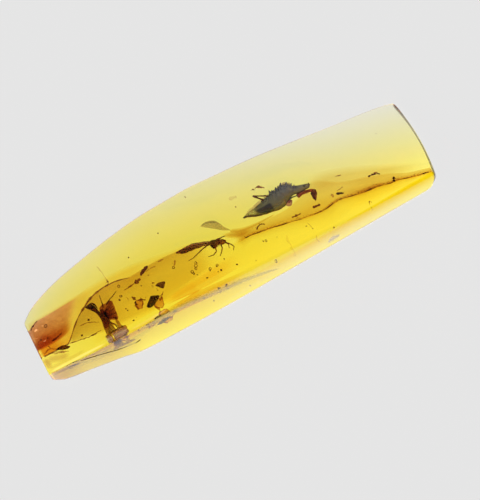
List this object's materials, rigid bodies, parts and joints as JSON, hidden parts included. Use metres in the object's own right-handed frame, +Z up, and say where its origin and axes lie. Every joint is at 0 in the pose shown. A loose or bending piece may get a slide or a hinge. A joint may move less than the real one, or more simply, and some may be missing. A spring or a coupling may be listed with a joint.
{
  "type": "beetle in amber",
  "caption": "Long polished piece of clear yellow amber, cut at both ends, with a beetle, other insects and plant debris sealed in it. Rests on a flat spot.",
  "frame": {"origin": "centre of the piece's bounding box seen from above, at the height of the flat spot that it rests on", "axes": "+X along the piece towards its wide cut end, +Y towards its thin pale edge, +Z up from the flat spot"},
  "size_m": [0.05, 0.0142, 0.0076],
  "materials": {
    "amber": "polished",
    "beetle_black": "satin",
    "spider_maroon": "satin",
    "insect_brown": "satin",
    "bark_brown": "rough",
    "flake_grey": "matte",
    "flake_brown": "satin",
    "resin_red": "cloudy"
  },
  "bodies": {
    "root": {"amber_lower_half": "amber", "amber_upper_half": "amber", "beetle": "beetle_black", "spider": "spider_maroon", "second_insect": "insect_brown", "bark_strip": "bark_brown", "teardrop_flake": "flake_grey", "grey_flake": "flake_grey", "leaf_sliver": "bark_brown", "black_shard": "beetle_black", "brown_flake_left": "flake_brown", "brown_flake_right": "flake_brown", "wedge_chip": "bark_brown", "twig": "bark_brown", "red_resin_lump": "resin_red"}
  },
  "joints": []
}
